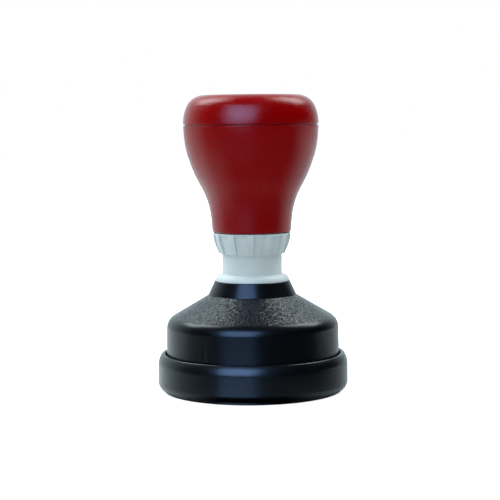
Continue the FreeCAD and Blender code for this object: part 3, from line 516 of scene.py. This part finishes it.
# Die holder and die frame
# Ribbed cup on the stem's foot that carries the ink pad and the die, and the ring that snaps over it and
# clamps the die's shoulder. Both are moulded in dark grey ABS.

# Dark grey ABS: an even blasted matt with a grit of 0.3 mm, a little smoother in patches 7 mm wide.
grey_abs, tree = bare_material("dark_grey_abs")
place = add(tree, "TexCoord").outputs["Object"]
blast = add(tree, "TexNoise", {"Vector": place, "Scale": 3.4 / MM, "Detail": 2.0})
slow = add(tree, "TexNoise", {"Vector": place, "Scale": 0.15 / MM, "Detail": 2.0})
bump = add(tree, "Bump", {"Height": blast.outputs["Fac"], "Strength": 0.5, "Distance": 0.02 * MM})
tint = add(tree, "Mix", {"Factor": slow.outputs["Fac"], 6: linear("#2B2E31"), 7: linear("#3A3D40")},
           data_type="RGBA")
gloss = add(tree, "MapRange", {"Value": slow.outputs["Fac"], "To Min": 0.4, "To Max": 0.55})
shader = add(tree, "BsdfPrincipled", {"Base Color": tint.outputs[2], "Roughness": gloss.outputs["Result"],
                                      "IOR": 1.52, "Normal": bump.outputs["Normal"]})
add(tree, "OutputMaterial", {"Surface": shader.outputs["BSDF"]})
finish_solids(("die_holder", "die_frame"), grey_abs)


# Ink reservoir
# Thick disc of felt that holds the ink over the whole back of the die. Punched from the same wool felt,
# and held in the holder's cup by the die.

PAD_LINE = [(0, 13.02), (20.98, 13.02, 0.3), (20.98, 16.38, 0.3), (0, 16.38)]
ink_pad = turned("ink_reservoir_pad", PAD_LINE, "poles", count=180)

# Felt soaked in blue-black ink: wet, deep and uneven, with fibres of 0.4 mm still showing.
inked_felt, tree = bare_material("inked_felt")
place = add(tree, "TexCoord").outputs["Object"]
fibres = add(tree, "TexNoise", {"Vector": place, "Scale": 2.6 / MM, "Detail": 4.0, "Distortion": 2.0})
bump = add(tree, "Bump", {"Height": fibres.outputs["Fac"], "Strength": 0.8, "Distance": 0.06 * MM})
tint = add(tree, "Mix", {"Factor": fibres.outputs["Fac"], 6: linear("#0B0C16"), 7: linear("#1D2140")},
           data_type="RGBA")
gloss = add(tree, "MapRange", {"Value": fibres.outputs["Fac"], "To Min": 0.35, "To Max": 0.7})
shader = add(tree, "BsdfPrincipled", {"Base Color": tint.outputs[2], "Roughness": gloss.outputs["Result"],
                                      "Normal": bump.outputs["Normal"]})
add(tree, "OutputMaterial", {"Surface": shader.outputs["BSDF"]})
ink_pad.data.materials.append(inked_felt)
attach(ink_pad, "plunger")
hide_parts("ink_reservoir")


# Die
# Thick disc whose raised rings make the print: a border and three plain rings. It is microporous foam,
# its surface sealed by heat except on the rings.

PRINT_RINGS = ((4.0, 4.5), (10.5, 11.0), (16.9, 17.4), (18.6, 19.8))    # inner and outer radii
PRINT_FACE = 7.5
DIE_GROUND = 8.1        # height of the sealed surface between the rings
DIE_LINE = [(0, DIE_GROUND)]
for inner, outer in PRINT_RINGS:
    DIE_LINE += [(inner, DIE_GROUND), (inner, PRINT_FACE), (outer, PRINT_FACE), (outer, DIE_GROUND)]
DIE_LINE += [(20.3, DIE_GROUND, 0.2), (20.3, 9.0), (21.0, 9.0, 0.2), (21.0, 13.0, 0.2), (0, 13.0)]
die = turned("die_foam_disc", DIE_LINE, "poles")

# Microporous foam: closed-looking grey skin between the rings, inky open pores on the rings' faces.
# The pores are drawn 0.25 mm apart, coarser than real ones, so that they show. The ink begins just
# below the ground and is full just above the print's face.
inked_foam, tree = bare_material("inked_microporous_foam")
place = add(tree, "TexCoord").outputs["Object"]
height = add(tree, "SeparateXYZ", {0: place}).outputs["Z"]
raised = add(tree, "MapRange", {"Value": height, "From Min": (DIE_GROUND - 0.08) * MM,
                                "From Max": (PRINT_FACE + 0.05) * MM})
pores = add(tree, "TexVoronoi", {"Vector": place, "Scale": 4 / MM})
smear = add(tree, "TexNoise", {"Vector": place, "Scale": 0.26 / MM, "Detail": 3.0})
bump = add(tree, "Bump", {"Height": pores.outputs["Distance"], "Strength": 0.7, "Distance": 0.05 * MM})
skin_tint = add(tree, "Mix", {"Factor": smear.outputs["Fac"], 6: linear("#4A4D5E"), 7: linear("#7C7F8C")},
                data_type="RGBA")
ink_tint = add(tree, "Mix", {"Factor": pores.outputs["Distance"], 6: linear("#0C0E1C"),
                             7: linear("#23284A")}, data_type="RGBA")
tint = add(tree, "Mix", {"Factor": raised.outputs["Result"], 6: skin_tint.outputs[2],
                         7: ink_tint.outputs[2]}, data_type="RGBA")
gloss = add(tree, "MapRange", {"Value": raised.outputs["Result"], "To Min": 0.6, "To Max": 0.32})
shader = add(tree, "BsdfPrincipled", {"Base Color": tint.outputs[2], "Roughness": gloss.outputs["Result"],
                                      "Normal": bump.outputs["Normal"]})
add(tree, "OutputMaterial", {"Surface": shader.outputs["BSDF"]})
die.data.materials.append(inked_foam)
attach(die, "plunger")
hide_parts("die")


# Adjusting ring
# Barrel-shaped collar right under the knob; turning it sets how deep the knob may go. Moulded in the
# same grey acetal, with twelve shallow flutes for the fingertips and a plain band on top.

RING_LINE = [(9.65, 40.5, 0.1), (11.4, 44.6, 9.0), (11.4, 46.7, 0.2), (10.4, 46.7), (10.4, 46.0),
             (9.8, 46.0), (9.8, 43.5), (8.9, 43.5), (8.9, 40.5, 0.1)]
OUTSIDE = ((40.4, 44.6), (9.5, 10.97))      # heights, and radii past which only the outside lies there
FLUTE_ANGLES = 270 + 12.5 + np.arange(12) * 30
FLUTE_ARC = 19.0        # degrees that a flute takes
FLUTE_SLOPE = 0.8       # degrees that its flank takes
FLUTE_DEPTH = 0.7
FLUTE_TOP = 46.45       # height at which the plain band begins
FLUTE_FULL = (40.5, 42.5)       # heights between which a flute grows from half its depth to the whole


def ring_flutes(radius, height, angle):
    """Sinks the flutes into the outside of the barrel, below the plain band, half as deep at its foot."""
    outside = radius > np.interp(height, *OUTSIDE)
    below_band = np.clip((FLUTE_TOP - height) / SHARP, 0, 1)
    depth = np.interp(height, FLUTE_FULL, (FLUTE_DEPTH / 2, FLUTE_DEPTH))
    flutes = sum(bar_at(angle, middle, FLUTE_ARC, FLUTE_SLOPE) for middle in FLUTE_ANGLES)
    return -depth * outside * below_band * flutes


ring = turned("adjusting_ring_barrel", RING_LINE, moved=ring_flutes,
              near=np.concatenate([edges_of(middle, FLUTE_ARC, FLUTE_SLOPE) for middle in FLUTE_ANGLES]))
ring.data.materials.append(grey_acetal)
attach(ring, "ring")
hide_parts("adjusting_ring")


# Knob
# Hollow palm knob, moulded in deep red ABS with a fine satin texture. It is screwed to the handle core
# from inside, and its upper edge meets the lid at a dark seam.

KNOB_LINE = [(11.55, 46.95, 0.35), (12.25, 55.6, 23.0), (19.6, 68.9, 35.8), (19.8, 78.0, 0.2),
             (17.9, 78.0, 0.3), (17.9, 74.8), (17.529, 74.8), (17.412, 69.49, 33.6), (9.74, 55.607, 4.0),
             (9.74, 46.95)]
knob = turned("knob_shell", KNOB_LINE, count=360)

# Deep red ABS: strong colour to the very surface, with drifts 8 mm wide, and a satin skin, 0.4 mm from
# grain to grain, that spreads each lamp into a soft pale patch.
red_abs, tree = bare_material("satin_red_abs")
place = add(tree, "TexCoord").outputs["Object"]
peel = add(tree, "TexNoise", {"Vector": place, "Scale": 2.5 / MM, "Detail": 2.0, "Roughness": 0.5})
slow = add(tree, "TexNoise", {"Vector": place, "Scale": 0.12 / MM, "Detail": 2.0})
bump = add(tree, "Bump", {"Height": peel.outputs["Fac"], "Strength": 1.0, "Distance": 0.09 * MM})
tint = add(tree, "Mix", {"Factor": slow.outputs["Fac"], 6: linear("#880003"), 7: linear("#920104")},
           data_type="RGBA")
gloss = add(tree, "MapRange", {"Value": slow.outputs["Fac"], "From Min": 0.3, "From Max": 0.7,
                               "To Min": 0.13, "To Max": 0.16})
shader = add(tree, "BsdfPrincipled", {"Base Color": tint.outputs[2], "Roughness": gloss.outputs["Result"],
                                      "IOR": 1.41, "Normal": bump.outputs["Normal"]})
add(tree, "OutputMaterial", {"Surface": shader.outputs["BSDF"]})
knob.data.materials.append(red_abs)
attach(knob, "plunger")
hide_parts("handle_shell")


# Lid
# Cap of the knob, pulled off to refill ink. Moulded in the same red ABS; its spigot carries an O-ring
# and its middle post the filler plug, braced by four ribs.

LID_LINE = [(0, 71.41), (1.6, 71.41, 0.2), (1.6, 75.912), (3.0, 75.912, 0.2), (3.0, 84.9, 0.3),
            (15.9, 84.807, 3.6), (16.3, 81.6, 1.0), (16.3, 75.2, 0.3), (17.8, 75.2, 0.3), (17.8, 76.1),
            (16.9, 76.1), (16.9, 77.1), (17.8, 77.1), (17.8, 78.0), (19.35, 78.0), (19.35, 78.3),
            (19.8, 78.3, 0.2), (19.7, 81.6, 11.0), (17.15, 86.8, 5.6), (0, 86.9)]
lid = turned("lid_shell", LID_LINE, "poles", count=360)
lid.data.materials.append(red_abs)
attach(lid, "lid")
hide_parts("handle_cap")


def slab(name, half, middle, turn, rounding):
    """Slab with rounded edges: each eighth of a small sphere is moved out to its own corner.

    half is its half size each way. The sphere's points lie half a step off the axes, so that each
    belongs to one eighth, and turn is the slab's angle round Z in degrees.
    """
    rise = np.radians(np.linspace(-90, 90, 12))[:, None]
    heading = np.radians(np.arange(24) * 15 + 7.5)[None]
    ball = np.stack(np.broadcast_arrays(np.cos(rise) * np.cos(heading), np.cos(rise) * np.sin(heading),
                                        np.sin(rise)), axis=-1)
    ball = np.where(np.abs(ball) < SPECK, 0, ball)
    points = np.sign(ball) * (np.array(half) - rounding) + ball * rounding
    turn = np.radians(turn)
    spin = np.array([[np.cos(turn), np.sin(turn), 0], [-np.sin(turn), np.cos(turn), 0], [0, 0, 1]])
    return skin(name, points @ spin + np.array(middle), "poles")


for number, turn in enumerate((45, 135)):
    rib = slab("lid_rib_%d" % number, half=(8.0, 0.6, 2.7), middle=(0, 0, 83.1), turn=turn, rounding=0.15)
    rib.data.materials.append(red_abs)
    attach(rib, "lid")


# Lid seal and filler plug
# The O-ring on the spigot keeps the lid on and the ink's solvent in; the bung on the post closes the
# stem's ink bore. Both are moulded in nitrile rubber.

lid_seal = o_ring("lid_o_ring", middle=17.4, section=0.45, height=76.6)
BUNG_LINE = [(0, 69.412), (2.4, 69.412, 0.5), (2.4, 72.012), (4.2, 72.012, 0.3), (4.2, 75.912, 0.3),
             (1.64, 75.912), (1.64, 71.372), (0, 71.372)]
bung = turned("filler_bung", BUNG_LINE, "poles", count=120)
for piece, node in ((lid_seal, "cap_seal"), (bung, "filler_plug")):
    piece.data.materials.append(nitrile)
    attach(piece, "lid")
    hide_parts(node)


# Floor
# White sheet under the stamp. The camera sees it as plain white, darkened a little where the stamp
# keeps the light off. Reflections see a matt sheet in painted shadow and painted light, with a faint
# gloss. It is clear from below and under the foot, so that the stamp's underside can be seen.

floor_mesh = bpy.data.meshes.new("floor")
floor_mesh.from_pydata([(-3, -3, 0), (3, -3, 0), (3, 3, 0), (-3, 3, 0)], [], [(0, 1, 2, 3)])
floor = bpy.data.objects.new("floor", floor_mesh)
bpy.context.scene.collection.objects.link(floor)
white_sheet, tree = bare_material("white_sheet")
path = add(tree, "LightPath")
spot = add(tree, "TexCoord").outputs["Object"]
place = add(tree, "SeparateXYZ", {0: spot})
away = add(tree, "VectorMath", {0: spot}, operation="LENGTH").outputs["Value"]

# Painted shadow and light for reflections: all round, the sheet's colour is dark where the stamp's own
# shadow falls, lightest just past that, and darker again further out.
PAINTED_NEAR_LIGHT = 0.16
FAR_SHARE = 0.15        # what the distance leaves of it
painted_shadow_edge = add(tree, "MapRange", {"Value": away, "From Min": 32 * MM, "From Max": 42 * MM,
                                     "To Max": PAINTED_NEAR_LIGHT}, interpolation_type="SMOOTHSTEP")
spread = add(tree, "MapRange", {"Value": away, "From Min": 48 * MM, "From Max": 70 * MM, "To Min": 1.0,
                                "To Max": FAR_SHARE}, interpolation_type="SMOOTHSTEP")
near = add(tree, "Math", {0: painted_shadow_edge.outputs["Result"], 1: spread.outputs["Result"]},
           operation="MULTIPLY")

# Right beside the foot, to its left and right, the colour is paler: painted light, as if lit from both
# sides.
PAINTED_FLANK_LIGHT = 0.5
aside = add(tree, "Math", {0: place.outputs["X"]}, operation="ABSOLUTE")
flank = add(tree, "MapRange", {"Value": aside.outputs[0], "From Min": 9 * MM, "From Max": 26 * MM,
                               "To Max": PAINTED_FLANK_LIGHT}, interpolation_type="SMOOTHSTEP")
tight = add(tree, "MapRange", {"Value": away, "From Min": 30 * MM, "From Max": 45 * MM, "To Min": 1.0,
                               "To Max": 0.0})
beside = add(tree, "Math", {0: flank.outputs["Result"], 1: tight.outputs["Result"]}, operation="MULTIPLY")

# Painted light: paler to the left rear, by the cosine of the angle from that way, and behind the stamp.
LEFT_REAR = (-0.77, 0.64, 0.0)
PAINTED_LEFT_LIGHT = 0.34
PAINTED_BACK_LIGHT = 0.45
leftward = add(tree, "VectorMath", {0: spot, 1: LEFT_REAR}, operation="DOT_PRODUCT")
turned_left = add(tree, "Math", {0: leftward.outputs["Value"], 1: away}, operation="DIVIDE")
painted_left_light = add(tree, "MapRange", {"Value": turned_left.outputs[0], "From Min": -0.15, "From Max": 0.6,
                                   "To Min": 0.0, "To Max": PAINTED_LEFT_LIGHT}, interpolation_type="SMOOTHSTEP")
distant = add(tree, "MapRange", {"Value": away, "From Min": 130 * MM, "From Max": 300 * MM})
fading = add(tree, "MapRange", {"Value": distant.outputs[0], "To Min": 1.0, "To Max": 0.2})
left = add(tree, "Math", {0: painted_left_light.outputs[0], 1: fading.outputs[0]}, operation="MULTIPLY")
behind = add(tree, "MapRange", {"Value": place.outputs["Y"], "From Min": -30 * MM, "From Max": 40 * MM,
                                "To Min": 0.0, "To Max": PAINTED_BACK_LIGHT}, interpolation_type="SMOOTHSTEP")
# The painted shadow and painted light together make the matt colour that reflections see.
ahead = add(tree, "Math", {0: near.outputs[0], 1: beside.outputs[0]}, operation="ADD")
around = add(tree, "Math", {0: left.outputs[0], 1: behind.outputs[0]}, operation="ADD")
painted_shade_and_light = add(tree, "Math", {0: ahead.outputs[0], 1: around.outputs[0]}, operation="ADD")

# The gloss grows with the fifth power towards a grazing look, as on any smooth paper, and stays near.
SHEEN_POWER = 5.0
sheen = add(tree, "BsdfGlossy", {"Color": (1.0, 1.0, 1.0, 1.0), "Roughness": 0.15})
matt = add(tree, "BsdfDiffuse", {"Color": painted_shade_and_light.outputs[0]})
facing = add(tree, "LayerWeight", {"Blend": 0.5}).outputs["Facing"]
grazing = add(tree, "Math", {0: facing, 1: SHEEN_POWER}, operation="POWER")
close = add(tree, "Math", {0: 1.0, 1: distant.outputs[0]}, operation="SUBTRACT")
share = add(tree, "Math", {0: grazing.outputs[0], 1: close.outputs[0]}, operation="MULTIPLY")
paint = add(tree, "MixShader", {0: share.outputs[0], 1: matt.outputs[0], 2: sheen.outputs[0]})

# Matt surfaces get an even light back from the sheet, and the camera sees it white: half lit, half
# glowing, so that the contact shadow stays soft.
RETURNED = 0.54
HALF_WHITE = 0.8
plain = add(tree, "BsdfDiffuse", {"Color": (HALF_WHITE, HALF_WHITE, HALF_WHITE, 1.0)})
returned = add(tree, "BsdfDiffuse", {"Color": (RETURNED, RETURNED, RETURNED, 1.0)})
glow = add(tree, "Emission", {"Color": (1.0, 1.0, 1.0, 1.0), "Strength": HALF_WHITE})
seen = add(tree, "AddShader", {0: plain.outputs[0], 1: glow.outputs[0]})
bounced = add(tree, "MixShader", {0: path.outputs["Is Diffuse Ray"], 1: paint.outputs[0],
                                  2: returned.outputs[0]})
either = add(tree, "MixShader", {0: path.outputs["Is Camera Ray"], 1: bounced.outputs[0],
                                 2: seen.outputs[0]})
FOOT_RADIUS = 26.2
under_foot = add(tree, "Math", {0: away, 1: FOOT_RADIUS * MM}, operation="LESS_THAN")
from_below = add(tree, "NewGeometry").outputs["Backfacing"]
unseen = add(tree, "Math", {0: from_below, 1: under_foot.outputs[0]}, operation="MAXIMUM")
clear = add(tree, "BsdfTransparent")
open_below = add(tree, "MixShader", {0: unseen.outputs[0], 1: either.outputs[0], 2: clear.outputs[0]})
add(tree, "OutputMaterial", {"Surface": open_below.outputs[0]})
floor_mesh.materials.append(white_sheet)


# Studio
# Two softboxes hang behind the stamp, left and right, and a broad bluish window stands to the left of
# the camera. Reflections see white surroundings behind the stamp that darken towards the camera, matt
# surfaces are lit from above and from the left, and the camera itself sees plain white all round.

world = bpy.data.worlds.new("studio")
bpy.context.scene.world = world
world.use_nodes = True
tree = world.node_tree
tree.nodes.clear()
heading = add(tree, "TexCoord").outputs["Generated"]
upwards = add(tree, "SeparateXYZ", {0: heading})

# For reflections: the brightest way leads behind the stamp, and a little light comes from below.
REAR = (-0.25, 0.963, 0.1)
BELOW_LEVEL = 0.24
rearward = add(tree, "VectorMath", {0: heading, 1: REAR}, operation="DOT_PRODUCT")
backdrop = add(tree, "MapRange", {"Value": rearward.outputs["Value"], "From Min": 0.2, "From Max": 0.95,
                                  "To Min": 0.0, "To Max": 1.0}, interpolation_type="SMOOTHSTEP")
below = add(tree, "MapRange", {"Value": upwards.outputs["Z"], "From Min": -0.1, "From Max": -0.9,
                               "To Max": BELOW_LEVEL}, interpolation_type="SMOOTHSTEP")
mirrored = add(tree, "Math", {0: backdrop.outputs["Result"], 1: below.outputs["Result"]},
               operation="MAXIMUM")

# For matt surfaces: a bright ceiling, and a side light that falls from left to right.
CEILING_LEVEL = 2.5
RIGHT_LEVEL = 0.02
LEFT_SIDE_LEVEL = 0.85
zenith = add(tree, "MapRange", {"Value": upwards.outputs["Z"], "From Min": 0.5, "From Max": 1.0},
             interpolation_type="SMOOTHSTEP")
side = add(tree, "MapRange", {"Value": upwards.outputs["X"], "From Min": 0.25, "From Max": -0.9,
                              "To Min": RIGHT_LEVEL, "To Max": LEFT_SIDE_LEVEL},
           interpolation_type="SMOOTHSTEP")
soft = add(tree, "Math", {0: zenith.outputs["Result"], 1: CEILING_LEVEL, 2: side.outputs["Result"]},
           operation="MULTIPLY_ADD")

path = add(tree, "LightPath")
mirror = add(tree, "Math", {0: path.outputs["Is Glossy Ray"], 1: path.outputs["Is Transmission Ray"]},
             operation="MAXIMUM")
cast = add(tree, "Mix", {"Factor": mirror.outputs[0], 2: soft.outputs[0], 3: mirrored.outputs[0]})
level = add(tree, "Math", {0: cast.outputs[0], 1: path.outputs["Is Camera Ray"]}, operation="MAXIMUM")
hue = add(tree, "Mix", {"Factor": path.outputs["Is Camera Ray"], 6: linear("#E6F8FF"),
                        7: linear("#FFFFFF")}, data_type="RGBA")
sky = add(tree, "Background", {"Color": hue.outputs[2], "Strength": level.outputs[0]})
add(tree, "OutputWorld", {"Surface": sky.outputs[0]})

AIM = (0, 0, 0.045)     # middle of the stamp, which each lamp faces


def lamp(name, azimuth, elevation, away, width, tall, radiance, colour):
    """Rectangular lamp on the way from the stamp's middle that an azimuth, counted from +X, and an
    elevation give, at a distance in metres.

    A rectangle shines with its power over pi times its area, so the power comes from the radiance.
    """
    turn, rise = np.radians([azimuth, elevation])
    towards = np.array([np.cos(turn) * np.cos(rise), np.sin(turn) * np.cos(rise), np.sin(rise)])
    light = bpy.data.lights.new(name, "AREA")
    light.shape = "RECTANGLE"
    light.size, light.size_y = width, tall
    light.energy = radiance * np.pi * width * tall
    light.color = colour
    held = bpy.data.objects.new(name, light)
    held.location = np.array(AIM) + towards * away
    held.rotation_euler = (np.pi / 2 - rise, 0, turn + np.pi / 2)
    held.visible_camera = False
    bpy.context.scene.collection.objects.link(held)
    return held


lamp("softbox_left", azimuth=147, elevation=50, away=0.9, width=0.38, tall=0.5, radiance=5.8,
     colour=(0.88, 0.95, 0.97))
lamp("softbox_right", azimuth=34, elevation=50, away=0.9, width=0.38, tall=0.5, radiance=5.8,
     colour=(0.92, 0.97, 0.95))
window = lamp("window", azimuth=251, elevation=27.0, away=1.1, width=0.88, tall=0.84, radiance=6.6,
              colour=(0.35, 0.56, 1.0))
window.visible_diffuse = False      # it shows in reflections alone, so that it tints no matt surface


# Camera
# Long lens 0.44 m in front of the stamp, level with the lid's seam, tipped down 4.85 degrees and rolled
# a hair, as the photograph was taken.

camera_data = bpy.data.cameras.new("camera")
camera_data.sensor_width = 36
camera_data.lens = 107.35
camera = bpy.data.objects.new("camera", camera_data)
camera.location = (-0.00022, -0.4373, 0.0785)
camera.rotation_euler = (np.radians(90 - 4.85), np.radians(0.55), 0)
bpy.context.scene.collection.objects.link(camera)
bpy.context.scene.camera = camera
bpy.context.scene.view_settings.view_transform = "Standard"
